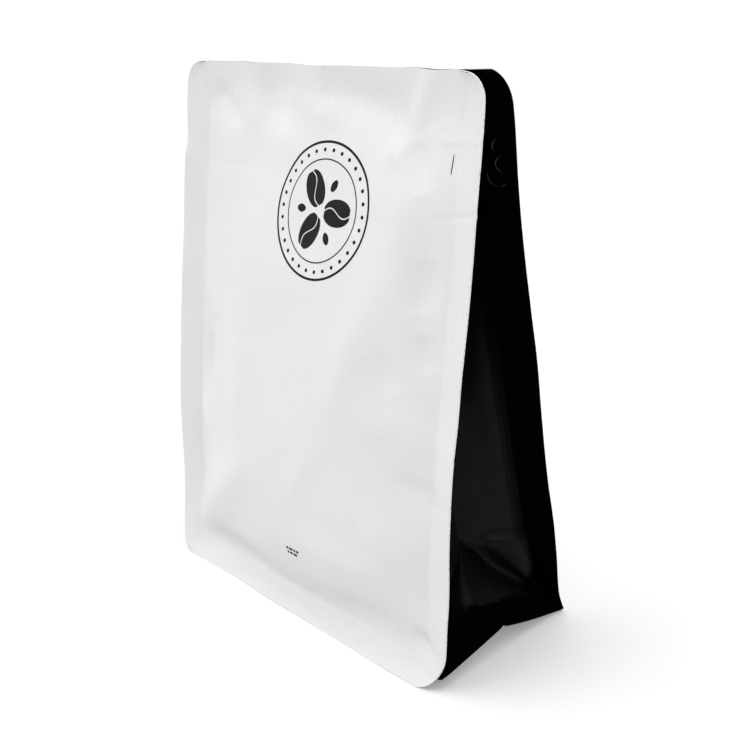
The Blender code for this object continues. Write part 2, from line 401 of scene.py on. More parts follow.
class Sheet:
    """Turns a grid of points into a film with a thickness.

    Its free faces wear the piece's first material and its welded ones the second. On the gussets the weld level also
    carries painted shade and picks among several darker copies.
    """

    def __init__(
        self, name: str, grid: Values, outward: Vector, thickness: float, welded: Values, levels: int = 1
    ) -> None:
        """Keeps the sheet's points.

        Args:
            name: The piece's name.
            grid: Points in millimetres, as rows of columns.
            outward: A direction that the middle face of the grid looks towards.
            thickness: The film's thickness, behind the grid.
            welded: How far each point belongs to a welded zone, from 0 to 1. On the gussets it also carries painted
                shade.
            levels: How many materials follow the free film's own. With one, the rim wears the one after it.
        """
        self.levels = levels
        self.name = name
        self.grid = grid
        self.outward = outward
        self.thickness = thickness
        self.welded = np.broadcast_to(welded, grid.shape[:2])

    def build(self) -> bpy.types.Object:
        """Makes the object, with its faces towards the outside and its thickness behind them."""
        rows, columns, _ = self.grid.shape
        index = np.arange(rows * columns).reshape(rows, columns)
        quads = np.stack([index[:-1, :-1], index[:-1, 1:], index[1:, 1:], index[1:, :-1]], axis=-1)
        quads = quads.reshape(-1, 4)
        points = swayed(self.grid.reshape(-1, 3)) * MM
        middle = quads[len(quads) // 2 + columns // 2]
        corner = points[middle]
        normal = np.cross(corner[2] - corner[0], corner[3] - corner[1])
        if float(np.dot(normal, self.outward)) < 0:
            quads = quads[:, ::-1]
        mesh = bpy.data.meshes.new(self.name)
        mesh.from_pydata(points.tolist(), [], quads.tolist())
        mesh.update()
        mesh.shade_smooth()
        # The weld level, which on the gussets also carries painted shade, picks each face's material.
        weld_and_shade_level = np.round(self.welded.ravel()[quads].mean(axis=1) * self.levels)
        mesh.polygons.foreach_set("material_index", weld_and_shade_level.astype(np.int32))
        piece = bpy.data.objects.new(self.name, mesh)
        bpy.context.scene.collection.objects.link(piece)
        solid = piece.modifiers.new("thickness", "SOLIDIFY")
        solid.thickness = self.thickness * MM
        solid.offset = -1.0
        solid.use_rim = True
        solid.material_offset_rim = 1 if self.levels == 1 else 0
        return piece


def even_steps(start: float, end: float, spacing: float) -> Values:
    """Places from start to end, as close to the spacing as they fit evenly."""
    return np.linspace(start, end, max(2, round(abs(end - start) / spacing) + 1))


def join_steps(*runs: Values) -> Values:
    """Joins runs of places that end where the next begins."""
    return np.concatenate([runs[0], *(run[1:] for run in runs[1:])])


def height_rows(shape: PanelShape, spacing: float) -> Values:
    """Heights of a sheet's rows, closer together round the corners and on the fins' lines."""
    sizes = shape.sizes
    turn = np.linspace(0, math.pi / 2, 12)
    foot = shape.foot_corner[1] * (1 - np.cos(turn))
    top = sizes.height - shape.top_corner[1] * (1 - np.cos(turn[::-1]))
    low = foot[foot < sizes.foot_height - 0.5]
    return join_steps(
        low,
        even_steps(low[-1], sizes.foot_height, spacing),
        even_steps(sizes.foot_height, sizes.header_start, spacing),
        even_steps(sizes.header_start, top[0], spacing),
        top,
    )


@dataclass
class FilmPanel:
    """One white panel: its film, rounded corners and fins."""

    name: str
    shape: PanelShape
    spacing: float
    edge_rise: Ripple

    def build(self) -> bpy.types.Object:
        """Makes the panel's film."""
        sizes = self.shape.sizes
        inner = even_steps(-sizes.seal_x, sizes.seal_x, self.spacing)
        fin = even_steps(sizes.seal_x, sizes.half_width, self.spacing)
        columns = join_steps(-fin[::-1], inner, fin)
        rows = height_rows(self.shape, self.spacing)
        grid = self.shape.surface(columns[None, :], rows[:, None])
        lift = 0.2 + self.edge_rise.at(grid[..., 0], np.zeros(1))
        grid[..., 2] += np.clip(lift, 0.05, 0.6) * smooth_step(grid[..., 2], 4.0, 0.0)
        outward = Vector((0, self.shape.side, 0))
        return Sheet(self.name, grid, outward, sizes.film, self.welded(grid)).build()

    def welded(self, grid: Values) -> Values:
        """Where the panel is welded: on its fins, along the foot and in the header."""
        sizes = self.shape.sizes
        fins = smooth_step(np.abs(grid[..., 0]), sizes.seal_x - 0.4, sizes.seal_x + 0.4)
        foot = smooth_step(grid[..., 2], sizes.foot_height + 0.4, sizes.foot_height - 0.4)
        header = smooth_step(grid[..., 2], sizes.header_start - 0.4, sizes.header_start + 0.4)
        return np.maximum(np.maximum(fins, foot), header)


@dataclass
class Gusset:
    """One black side: the layers on both fins, the tucked V, the triangle under its fold and the seam strip."""

    name: str
    panels: tuple[PanelShape, PanelShape]
    side: int
    ripple: Ripple
    tuck_width: float = 26.0
    tuck_height: float = 33.6
    tuck_flat: float = 0.94
    seam_x: float = 69.2
    seam_width: float = 9.3
    seam_lean: float = 1.3
    seam_rises: tuple[float, float, float] = (4.7, 9.5, 0.3)
    seam_play: float = 0.35
    bulge: float = 0.9
    lip: float = 0.9
    pocket: float = 3.6
    seam_drop: float = 4.4
    valley_sag: float = 3.4
    valley_groove: float = 1.3
    middle_bow: float = -3.5
    # Painted shade over the back lower corner: where it starts and how far it rises above the seam strip, in
    # millimetres.
    painted_shade_corner_rise: tuple[float, float] = (2.5, 8.5)
    hump: Profile = Profile((
        (-1, 0), (-0.83, 4.0), (-0.62, 7.0), (-0.46, 6.4), (-0.35, 4.1), (-0.19, 2.2), (0, 0), (0.2, 1.9), (0.6, 1.4), (1, 0),
    ))
    sag: Profile = Profile(((-1, 0), (-0.85, -0.4), (-0.5, -0.4), (-0.05, -0.2), (0, 0.2), (0.05, -0.4), (0.4, -0.7), (1, 0)))
    reliefs: tuple[Relief, ...] = (
        Relief((-22, 21), (-18.5, 26), 2.2, 1.0),
        Relief((-13, 22), (-17.5, 29), 0.8, -0.9, Form.CREASE),
        Relief((-3, 34), (-9, 26), 2.4, 0.8),
    )
    spacing: float = 1.0
    side_steps: int = 26
    middle_steps: int = 18
    fin_steps: int = 9

    def heights(self) -> Values:
        """Heights of the gusset's rows, with one on the fold and one on the seam's upper edge."""
        sizes = self.panels[0].sizes
        turn = np.linspace(0, math.pi / 2, 12)
        top = sizes.height - self.panels[1].top_corner[1] * (1 - np.cos(turn[::-1]))
        return join_steps(
            even_steps(0.0, sizes.foot_height, 0.75),
            even_steps(sizes.foot_height, self.tuck_height, 0.75),
            even_steps(self.tuck_height, top[0], self.spacing),
            top,
        )

    def on_panel(self, panel: PanelShape, x: Values, z: Values, inset: float | Values) -> Values:
        """Points behind a panel's outer face, seen as if this gusset were on the right."""
        points = panel.surface(self.side * x, z, inset)
        points[..., 0] *= self.side
        return points

    def root(self, panel: PanelShape, z: Values) -> Values:
        """Where the gusset leaves a fin, at its seal."""
        return self.on_panel(panel, panel.sizes.seal_x, z, panel.sizes.layer)

    def tuck(self, z: Values) -> tuple[Values, Values, Values]:
        """The point near the crease on the front half, the one on the back half, and the crease."""
        front, back = (self.root(panel, z) for panel in self.panels)
        reach = np.minimum((back[..., 1] - front[..., 1]) / 2, self.tuck_width)
        seal_x = self.panels[0].sizes.seal_x
        crease = np.stack([seal_x - np.sqrt(self.tuck_width**2 - reach**2), 0 * z, z], axis=-1)
        return mix(front, crease, self.tuck_flat), mix(back, crease, self.tuck_flat), crease

    def seam(self, up: Values) -> tuple[Values, Values, Values]:
        """The front end, the back end and the middle of the seam strip, up from its lower edge (0 to 1)."""
        x = self.seam_x - self.seam_lean * up
        low = [rise + self.seam_width * up for rise in self.seam_rises]
        low[2] = low[2] - self.seam_drop * up
        inset = self.panels[0].sizes.layer + self.seam_play
        front = self.on_panel(self.panels[0], x, low[0], inset)
        back = self.on_panel(self.panels[1], x, low[2], inset)
        front[..., 0], back[..., 0] = x, x
        return front, back, np.stack([x, 0 * x, low[1]], axis=-1)

    def guides(self, z: Values) -> tuple[Values, Values, Values]:
        """The two valley lines and the middle line, over all heights."""
        foot = self.panels[0].sizes.foot_height
        up = np.clip(z / foot, 0.0, 1.0)
        share = self.above_seam(z)[:, None]
        lines = zip(self.seam(up), self.tuck(np.maximum(z, self.tuck_height)))
        front, back, middle = (mix(low, high, share) for low, high in lines)
        back[..., 2] -= self.valley_sag * np.sin(math.pi * self.above_seam(z))
        middle[..., 1] += self.middle_bow * np.sin(math.pi * self.above_seam(z) ** 1.5)
        return front, back, middle

    def fin_block(self, panel: PanelShape, z: Values) -> Values:
        """The black layer on one fin, from its cut edge to just before the seal."""
        sizes = panel.sizes
        x = np.linspace(sizes.half_width, sizes.seal_x, self.fin_steps + 1)[:-1]
        points = self.on_panel(panel, x[None, :], z[:, None], sizes.layer)
        peek = 0.15 + 0.3 * np.clip(self.ripple.at(z, np.full(1, 3.0 * panel.side)), -1.0, 1.0)
        share = (x - sizes.seal_x) / sizes.fin_width
        points[..., 0] += peek[:, None] * share[None, :]
        return points

    def side_block(self, panel: PanelShape, root: Values, valley: Values, z: Values) -> Values:
        """The film between a fin's seal and the valley line: flat on the fin at the foot, free above it."""
        sizes = panel.sizes
        share = np.linspace(0, 1, self.side_steps + 1)[None, :, None]
        straight = mix(root[:, None, :], valley[:, None, :], share)
        inset = sizes.layer + self.seam_play * share[..., 0]
        on_fin = panel.side * (panel.depth(self.side * straight[..., 0], straight[..., 2]) - inset)
        free = self.above_seam(z)
        hold = ((1 - free) ** 4)[:, None]
        straight[..., 1] = mix(straight[..., 1], on_fin, hold)
        from_root, below_fold = share[..., 0], 1 - free[:, None]
        swell = self.pocket * np.sin(math.pi * below_fold**0.4) * np.sin(math.pi * from_root**0.45)
        groove = 1.5 * np.exp(-(((from_root - 0.88) / 0.15) ** 2)) * np.sin(math.pi * below_fold)
        straight[..., 0] += 0.85 * (swell - groove)
        straight[..., 1] -= 0.5 * panel.side * (swell - groove)
        return straight

    def above_seam(self, z: Values) -> Values:
        """How far up from the seam strip to the fold, from 0 to 1."""
        foot = self.panels[0].sizes.foot_height
        return np.clip((z - foot) / (self.tuck_height - foot), 0.0, 1.0)

    def middle_block(self, panel: PanelShape, valley: Values, middle: Values, z: Values) -> Values:
        """The film between a valley line and the middle line, which the filling pushes out a little."""
        share = np.linspace(0, 1, self.middle_steps + 1)[None, :, None]
        points = mix(valley[:, None, :], middle[:, None, :], share)
        rise = self.above_seam(z)[:, None]
        middling = 1 - (1 - share[..., 0]) ** 1.6
        swell = self.bulge * np.sin(math.pi * rise) ** 0.7 * middling
        points[..., 0] += 0.72 * swell
        points[..., 2] += 0.69 * swell
        points[..., 0] -= self.valley_groove * np.exp(-((share[..., 0] / 0.14) ** 2)) * np.sin(math.pi * rise)
        lip = self.lip * np.sin(math.pi * np.clip(rise / 0.35, 0.0, 1.0) ** 0.6) * middling**0.5
        points[..., 0] += lip
        points[..., 2] -= 0.8 * lip
        along = panel.side * (1 - share[..., 0])
        up = np.clip(z / panel.sizes.foot_height, 0.0, 1.0)[:, None]
        points[..., 2] += self.hump.at(along) * np.where(rise > 0, (1 - rise) ** 1.5, up)
        points[..., 2] += self.sag.at(along) * (1 - up)
        return points

    def grid(self) -> Values:
        """All of the gusset's points, from the front fin's edge to the back fin's."""
        z = self.heights()
        front_line, back_line, middle = self.guides(z)
        blocks = []
        for panel, valley in zip(self.panels, (front_line, back_line)):
            fin = self.fin_block(panel, z)
            side = self.side_block(panel, self.root(panel, z), valley, z)
            centre = self.middle_block(panel, valley, middle, z)
            blocks.append(np.concatenate([fin, side[:, :-1], centre], axis=1))
        front, back = blocks
        grid = np.concatenate([front, back[:, ::-1][:, 1:]], axis=1)
        grid = self.inside_panels(self.softened(grid))
        grid[..., 0] *= self.side
        return grid

    def softened(self, grid: Values) -> Values:
        """Rounds the folds of the free film and gives it its unevenness."""
        first, last = self.fin_steps + 1, grid.shape[1] - self.fin_steps - 1
        for _ in range(2):
            inner = grid[1:-1, first:last]
            around = grid[:-2, first:last] + grid[2:, first:last]
            beside = grid[1:-1, first - 1 : last - 1] + grid[1:-1, first + 1 : last + 1]
            grid[1:-1, first:last] = mix(inner, (around + beside) / 4, 0.5)
        steps = np.arange(grid.shape[1])
        hold = smooth_step(steps, first, first + 8) * smooth_step(steps, last, last - 8)
        wave = self.ripple.at(grid[..., 1] + 2 * grid[..., 0], grid[..., 2])
        wave = wave * smooth_step(grid[..., 2], 12.0, 30.0)
        for relief in self.reliefs:
            wave = wave + relief.at(grid[..., 1], grid[..., 2])
        grid[..., 0] += wave * hold[None, :]
        return grid

    def inside_panels(self, grid: Values) -> Values:
        """Keeps the film between the panels, and its front half before its back half."""
        x, z = grid[..., 0], grid[..., 2]
        half = grid.shape[1] // 2
        first, last = self.fin_steps + 1, grid.shape[1] - self.fin_steps - 1
        for panel, part in ((self.panels[0], slice(first, half)), (self.panels[1], slice(half, last))):
            inset = panel.sizes.layer
            most = np.maximum(panel.depth(self.side * x[:, part], z[:, part]) - inset, 0.15)
            held = np.minimum(np.abs(grid[:, part, 1]), most)
            grid[:, part, 1] = panel.side * held
        return grid

    def lower_edge(self) -> Values:
        """The seam's lower edge with both seal points, which the base is welded to."""
        edge = self.grid()[0]
        return edge[self.fin_steps : edge.shape[0] - self.fin_steps]

    def build(self) -> bpy.types.Object:
        """Makes the gusset's film."""
        film = self.panels[0].sizes.film
        # Four black finishes: the free film, its two shaded copies and the shaded weld finish, picked by the weld level
        # that also carries painted shade.
        return Sheet(self.name, self.grid(), Vector((self.side, 0, 0)), film, self.welded(), levels=3).build()

    def welded(self) -> Values:
        """Each point's weld level, from 0 to 1, which picks its material: full on both fins and along the seam strip,
        which are welded; painted shade beside the fins, where it steps down into the free film, and over the back lower
        corner above the seam.
        """
        z = self.heights()
        columns = 2 * (self.fin_steps + self.side_steps + self.middle_steps) + 1
        step = np.arange(columns)
        from_edge = np.minimum(step, step[::-1])
        # The fins are welded; beside them the level steps down over a few columns of free film as painted shade.
        fins = np.clip((self.fin_steps + 7.0 - from_edge) / 6.0, 0.0, 1.0)
        foot = self.panels[0].sizes.foot_height
        strip = smooth_step(z, foot + 2.5, foot + 0.5)
        behind = np.clip((columns - self.fin_steps - self.side_steps - step) / self.middle_steps, 0.0, 1.0)
        # Painted shade: a patch over the back lower corner above the seam strip, reaching higher towards the back
        # valley line.
        start, rise = self.painted_shade_corner_rise
        corner = smooth_step(z[:, None], foot + start + rise * (0.6 - behind) / 0.6, foot + rise * (0.6 - behind) / 0.6)
        corner = np.where((behind < 0.6)[None, :], corner, 0.0)
        return np.maximum(np.maximum(fins[None, :], strip[:, None]), corner)


@dataclass
class Base:
    """The black base: it hangs from the foot fins in a groove, stands flat on the floor and rises at its ends."""

    name: str
    panels: tuple[PanelShape, PanelShape]
    gussets: tuple[Gusset, Gusset]
    flat_half: float = 42.0
    end_power: int = 6
    columns: int = 71

    def middle_line(self, count: int) -> Values:
        """The base's cross-section at its middle, as (y, z) from the front fin to the back fin."""
        front, back = self.panels
        sizes = front.sizes
        inset = sizes.layer
        stations = []
        for panel in (front, back):
            low = float(panel.edge.at(np.zeros(1))[0]) - inset
            top = float(panel.belly.at(np.full(1, sizes.foot_height))[0]) - inset
            half = mix(low, top, 0.55)
            stations.append([(low, 0.05), (half, 4.0), (top, 8.3), (top - 2.4, 7.4), (top - 5.0, 2.2), (top - 8.0, 0.2)])
        front_run = [(-depth, z) for depth, z in stations[0]]
        back_run = [(depth, z) for depth, z in reversed(stations[1])]
        run = [*front_run, (-10.0, 0.1), (0.0, 0.1), (10.0, 0.1), *back_run]
        places = np.linspace(0, 1, len(run))
        y = Profile(tuple((place, point[0]) for place, point in zip(places, run)))
        z = Profile(tuple((place, point[1]) for place, point in zip(places, run)))
        steps = np.linspace(0, 1, count)
        return np.stack([y.at(steps), z.at(steps)], axis=-1)

    def build(self) -> bpy.types.Object:
        """Makes the base's film, welded to the lower edges of both gussets."""
        sizes = self.panels[0].sizes
        right, left = (gusset.lower_edge() for gusset in self.gussets)
        middle = self.middle_line(len(right))
        x = np.linspace(-sizes.seal_x, sizes.seal_x, self.columns)
        share = smooth_step(np.abs(x), self.flat_half, sizes.seal_x)
        rows = []
        for line, right_end, left_end in zip(middle, right, left):
            end = np.where((x > 0)[:, None], right_end[None, :], left_end[None, :])
            stretch = mix(1.0, np.abs(end[:, 0]) / sizes.seal_x, (np.abs(x) / sizes.seal_x) ** self.end_power)
            rows.append(np.stack([
                x * stretch, mix(line[0], end[:, 1], share), mix(line[1], end[:, 2], share),
            ], axis=-1))
        grid = self.inside_panels(np.array(rows))
        return Sheet(self.name, grid, Vector((0, 0, -1)), sizes.film, np.zeros(1)).build()

    def inside_panels(self, grid: Values) -> Values:
        """Keeps the base behind both panels."""
        for panel in self.panels:
            most = panel.depth(grid[..., 0], grid[..., 2]) - panel.sizes.layer
            outside = panel.side * grid[..., 1] > most
            grid[..., 1] = np.where(outside, panel.side * most, grid[..., 1])
        return grid


# What lies on the films ------------------------------------------------------------------------------------


def band(first: Values, second: Values, across: int) -> Values:
    """A flat grid between two curves.

    Args:
        first: Points of one curve, as (x, z).
        second: As many points of the other.
        across: How many faces lie between them.

    Returns:
        The grid, as rows along the curves, with (x, z) along the last axis.
    """
    share = np.linspace(0, 1, across + 1)[None, :, None]
    return mix(first[:, None, :], second[:, None, :], share)


def arc(radius: float, start: float, end: float, steps: int) -> Values:
    """Points of an arc round the origin, as (x, z), with its angles in degrees from +X."""
    turn = np.radians(np.linspace(start, end, steps + 1))
    return radius * np.stack([np.cos(turn), np.sin(turn)], axis=-1)


def flat_mesh(name: str, grids: list[Values]) -> bpy.types.Object:
    """Makes one flat mesh object in the XY plane from several grids of (x, z), in metres, faces towards +Z."""
    points, faces = [], []
    for grid in grids:
        rows, columns, _ = grid.shape
        index = np.arange(rows * columns).reshape(rows, columns) + len(points)
        quads = np.stack([index[:-1, :-1], index[:-1, 1:], index[1:, 1:], index[1:, :-1]], axis=-1).reshape(-1, 4)
        flat = grid.reshape(-1, 2)
        a, b, c = (flat[quads[0, corner] - len(points)] for corner in (0, 1, 2))
        if (b[0] - a[0]) * (c[1] - a[1]) - (b[1] - a[1]) * (c[0] - a[0]) < 0:
            quads = quads[:, ::-1]
        points += [(x * MM, z * MM, 0.0) for x, z in flat.tolist()]
        faces += quads.tolist()
    mesh = bpy.data.meshes.new(name)
    mesh.from_pydata(points, [], faces)
    mesh.update()
    piece = bpy.data.objects.new(name, mesh)
    bpy.context.scene.collection.objects.link(piece)
    return piece


class Facing(Enum):
    """Which way a repeated motif turns."""

    UPRIGHT = "all the same way"
    OUTWARD = "away from the middle of its ring"


class RingPattern:
    """A Geometry Nodes tree that repeats a flat motif round a ring."""

    def __init__(self, name: str) -> None:
        """Builds the tree, with its named inputs."""
        self.tree = bpy.data.node_groups.new(name, "GeometryNodeTree")
        face = self.tree.interface
        face.new_socket("Geometry", in_out="INPUT", socket_type="NodeSocketGeometry")
        face.new_socket("Count", in_out="INPUT", socket_type="NodeSocketInt")
        face.new_socket("Radius", in_out="INPUT", socket_type="NodeSocketFloat")
        face.new_socket("Turned", in_out="INPUT", socket_type="NodeSocketBool")
        face.new_socket("Motif", in_out="INPUT", socket_type="NodeSocketObject")
        face.new_socket("Finish", in_out="INPUT", socket_type="NodeSocketMaterial")
        face.new_socket("Geometry", in_out="OUTPUT", socket_type="NodeSocketGeometry")
        nodes, links = self.tree.nodes, self.tree.links
        given = nodes.new("NodeGroupInput")
        ring = nodes.new("GeometryNodeMeshCircle")
        links.new(given.outputs["Count"], ring.inputs["Vertices"])
        links.new(given.outputs["Radius"], ring.inputs["Radius"])
        motif = nodes.new("GeometryNodeObjectInfo")
        links.new(given.outputs["Motif"], motif.inputs["Object"])
        outward = nodes.new("FunctionNodeAlignRotationToVector")
        outward.axis = "Y"
        outward.pivot_axis = "Z"
        links.new(nodes.new("GeometryNodeInputPosition").outputs["Position"], outward.inputs["Vector"])
        turned = nodes.new("GeometryNodeSwitch")
        turned.input_type = "ROTATION"
        links.new(given.outputs["Turned"], turned.inputs["Switch"])
        links.new(outward.outputs["Rotation"], turned.inputs["True"])
        copies = nodes.new("GeometryNodeInstanceOnPoints")
        links.new(ring.outputs["Mesh"], copies.inputs["Points"])
        links.new(motif.outputs["Geometry"], copies.inputs["Instance"])
        links.new(turned.outputs["Output"], copies.inputs["Rotation"])
        together = nodes.new("GeometryNodeJoinGeometry")
        links.new(copies.outputs["Instances"], together.inputs["Geometry"])
        links.new(given.outputs["Geometry"], together.inputs["Geometry"])
        real = nodes.new("GeometryNodeRealizeInstances")
        links.new(together.outputs["Geometry"], real.inputs["Geometry"])
        dressed = nodes.new("GeometryNodeSetMaterial")
        links.new(real.outputs["Geometry"], dressed.inputs["Geometry"])
        links.new(given.outputs["Finish"], dressed.inputs["Material"])
        links.new(dressed.outputs["Geometry"], nodes.new("NodeGroupOutput").inputs["Geometry"])

    def spread(
        self, carrier: bpy.types.Object, motif: bpy.types.Object, count: int, radius: float, facing: Facing,
        material: bpy.types.Material,
    ) -> None:
        """Adds a ring of motifs to a flat mesh, and leaves the result as a plain mesh.

        Args:
            carrier: The flat mesh that the ring joins.
            motif: The flat mesh that is repeated. It is removed.
            count: How many there are.
            radius: The ring's radius, in metres.
            facing: Which way each one turns.
            material: The finish of the whole.
        """
        modifier = carrier.modifiers.new("ring", "NODES")
        modifier.node_group = self.tree
        values = {
            "Count": count, "Radius": radius, "Turned": facing is Facing.OUTWARD, "Motif": motif, "Finish": material,
        }
        for item in self.tree.interface.items_tree:
            if item.in_out == "INPUT" and item.name in values:
                modifier[item.identifier] = values[item.name]
        bpy.context.view_layer.update()
        graph = bpy.context.evaluated_depsgraph_get()
        mesh = bpy.data.meshes.new_from_object(carrier.evaluated_get(graph))
        carrier.modifiers.remove(modifier)
        carrier.data = mesh
        bpy.data.objects.remove(motif)


@dataclass
class Laid:
    """Lays a flat drawing on a panel, as a thin skin of ink or film."""

    shape: PanelShape
    thickness: float = 0.02
    clear: float = 0.035

    def lay(self, piece: bpy.types.Object, place: tuple[float, float]) -> None:
        """Bends a flat mesh onto the panel and gives it its thickness.

        Args:
            piece: The flat mesh, in the XY plane round the origin.
            place: Where the origin goes, as (x, z) of the panel.
        """
        mesh = piece.data
        flat = np.empty(len(mesh.vertices) * 3, np.float32)
        mesh.vertices.foreach_get("co", flat)
        flat = flat.reshape(-1, 3).astype(float) / MM
        x, z = flat[:, 0] + place[0], flat[:, 1] + place[1]
        if self.shape.side > 0:
            x = place[0] - flat[:, 0]
        points = swayed(self.shape.surface(x, z, -self.clear)) * MM
        mesh.vertices.foreach_set("co", points.astype(np.float32).ravel())
        mesh.update()
        solid = piece.modifiers.new("thickness", "SOLIDIFY")
        solid.thickness = self.thickness * MM
        solid.offset = -1.0


@dataclass
class Badge:
    """A plain round coffee badge: two rings, a ring of dots, and three beans round a small star of leaves."""

    shape: PanelShape
    place: tuple[float, float] = (8.5, 142.0)
    outer_radius: float = 20.5
    outer_line: float = 0.75
    inner_radius: float = 15.4
    inner_line: float = 0.4
    dot_ring: float = 18.2
    dots: int = 30
    dot_radius: float = 0.6
    bean_ring: float = 7.4
    beans: int = 3
    bean_length: float = 12.0
    bean_width: float = 8.2
    bean_split: float = 0.42

    def ring(self, radius: float, line: float) -> Values:
        """A closed line round the badge."""
        return band(arc(radius - line / 2, 0, 360, 144), arc(radius + line / 2, 0, 360, 144), 1)

    def dot(self) -> Values:
        """One dot."""
        rim = arc(self.dot_radius, 0, 360, 16)
        return band(0 * rim, rim, 1)

    def bean(self) -> list[Values]:
        """One bean: two halves on either side of a curved split."""
        along = np.linspace(-1, 1, 29)
        z = self.bean_length / 2 * along
        split = 0.16 * self.bean_width * np.sin(math.pi * along)
        rim = self.bean_width / 2 * np.sqrt(np.maximum(1 - np.abs(along) ** 2.2, 0.0))
        halves = []
        for side in (-1, 1):
            inner = np.where(side * (side * rim - split) > self.bean_split / 2, split + side * self.bean_split / 2, side * rim)
            halves.append(band(np.stack([inner, z], axis=-1), np.stack([side * rim, z], axis=-1), 3)[1:-1])
        return halves

    def leaf(self) -> Values:
        """One small leaf between two beans."""
        along = np.linspace(0, 1, 13)
        half = 1.25 * np.sin(math.pi * along) ** 0.8
        z = 9.0 + 4.6 * (along - 0.5)
        return band(np.stack([-half, z], axis=-1), np.stack([half, z], axis=-1), 2)[1:-1]

    def build(self, material: bpy.types.Material) -> bpy.types.Object:
        """Draws the badge flat and lays it on the panel."""
        badge = flat_mesh("badge_print", [
            self.ring(self.outer_radius, self.outer_line), self.ring(self.inner_radius, self.inner_line),
        ])
        pattern = RingPattern("badge_ring")
        dot, bean, leaf = (flat_mesh(name, grids) for name, grids in (
            ("dot", [self.dot()]), ("bean", self.bean()), ("leaf", [self.turned(self.leaf())]),
        ))
        pattern.spread(badge, dot, self.dots, self.dot_ring * MM, Facing.UPRIGHT, material)
        pattern.spread(badge, bean, self.beans, self.bean_ring * MM, Facing.OUTWARD, material)
        pattern.spread(badge, leaf, self.beans, 0.01 * MM, Facing.OUTWARD, material)
        Laid(self.shape).lay(badge, self.place)
        return badge

    def turned(self, grid: Values) -> Values:
        """Turns a drawing to lie halfway between two beans."""
        angle = math.pi / self.beans
        x, z = grid[..., 0], grid[..., 1]
        return np.stack([x * math.cos(angle) - z * math.sin(angle), x * math.sin(angle) + z * math.cos(angle)], axis=-1)


@dataclass
class Dashes:
    """Two short rows of small printed dashes near the foot."""

    shape: PanelShape
    place: tuple[float, float] = (5.4, 27.6)
    rows: tuple[tuple[float, ...], ...] = ((1.1, 1.9, 0.9, 1.3), (0.9, 1.4, 1.9))
    gap: float = 0.4
    height: float = 1.1
    pitch: float = 1.9
    slant: float = 0.3

    def build(self) -> bpy.types.Object:
        """Draws the dashes and lays them on the panel.

        Returns:
            The dashes, as one object.
        """
        grids = []
        for number, lengths in enumerate(self.rows):
            x = -(sum(self.rows[0]) + self.gap * (len(self.rows[0]) - 1)) / 2
            z = self.pitch * (0.5 - number) - self.height / 2
            for length in lengths:
                low = np.array([[x, z], [x + length, z]])
                grids.append(band(low, low + np.array([self.slant, self.height]), 1))
                x += length + self.gap
        dashes = flat_mesh("foot_dashes", grids)
        Laid(self.shape).lay(dashes, self.place)
        return dashes


@dataclass
class TearSlit:
    """A short cut through a panel near its fin, where the bag is torn open, drawn as a thin dark skin on the film that
    paints the shade inside the cut.
    """

    name: str
    shape: PanelShape
    place: tuple[float, float] = (57.9, 159.6)
    length: float = 6.4
    width: float = 0.34

    def build(self) -> bpy.types.Object:
        """Draws the slit, pointed at both ends, and lays it on the panel as a dark skin of painted shade."""
        along = np.linspace(0, 1, 17)
        half = self.width / 2 * np.sin(math.pi * along) ** 0.35
        z = self.length * (along - 0.5)
        slit = flat_mesh(self.name, [band(np.stack([-half, z], -1), np.stack([half, z], -1), 1)[1:-1]])
        Laid(self.shape, clear=0.03).lay(slit, self.place)
        return slit


@dataclass
class TackWelds:
    """The small round tack welds that hold a gusset's film to a back fin's inside: low, shiny rims."""

    name: str
    shape: PanelShape
    side: int
    marks: tuple[tuple[float, float, float, float, float], ...] = (
        (66.2, 158.6, 2.4, 95, 262), (64.2, 155.2, 3.1, 168, 318), (65.4, 163.4, 2.2, 110, 220),
    )
    width: float = 0.42
    height: float = 0.16

    def build(self) -> bpy.types.Object:
        """Makes the rims, each a half-round ridge that thins out at its ends."""
        points, faces = [], []
        across = np.linspace(-1, 1, 7)
        inset = self.shape.sizes.layer + 0.25
        for x, z, radius, start, end in self.marks:
            turn = np.radians(np.linspace(start, end, 41))[:, None]
            taper = np.sin(math.pi * np.linspace(0, 1, 41))[:, None] ** 0.5
            reach = radius + self.width / 2 * across[None, :] * taper
            rise = self.height * taper * np.sqrt(1 - across[None, :] ** 2)
            place_x, place_z = x + reach * np.cos(turn), z + reach * np.sin(turn)
            ridge = self.shape.surface(self.side * place_x, place_z, inset + rise - 0.05)
            index = np.arange(ridge.shape[0] * ridge.shape[1]).reshape(ridge.shape[:2]) + len(points)
            quads = np.stack([index[:-1, :-1], index[:-1, 1:], index[1:, 1:], index[1:, :-1]], axis=-1)
            points += (swayed(ridge) * MM).reshape(-1, 3).tolist()
            faces += quads.reshape(-1, 4).tolist()
        mesh = bpy.data.meshes.new(self.name)
        mesh.from_pydata(points, [], faces if self.side < 0 else [quad[::-1] for quad in faces])
        mesh.update()
        mesh.shade_smooth()
        piece = bpy.data.objects.new(self.name, mesh)
        bpy.context.scene.collection.objects.link(piece)
        solid = piece.modifiers.new("thickness", "SOLIDIFY")
        solid.thickness = 0.04 * MM
        solid.offset = -1.0
        return piece


# Finishes -------------------------------------------------------------------------------------------------


@dataclass(frozen=True)
class Grain:
    """A pattern of soft grains: how far across they are and how deep, in millimetres."""

    size: float
    depth: float


@dataclass(frozen=True)
class Specks:
    """Fine specks of a second colour; they may thin out between two heights in millimetres, which darkens the film
    upwards as painted shade.
    """

    colour: tuple[float, float, float]
    size: float
    spread: tuple[float, float] = (0.3, 0.7)
    fade: tuple[float, float] | None = None


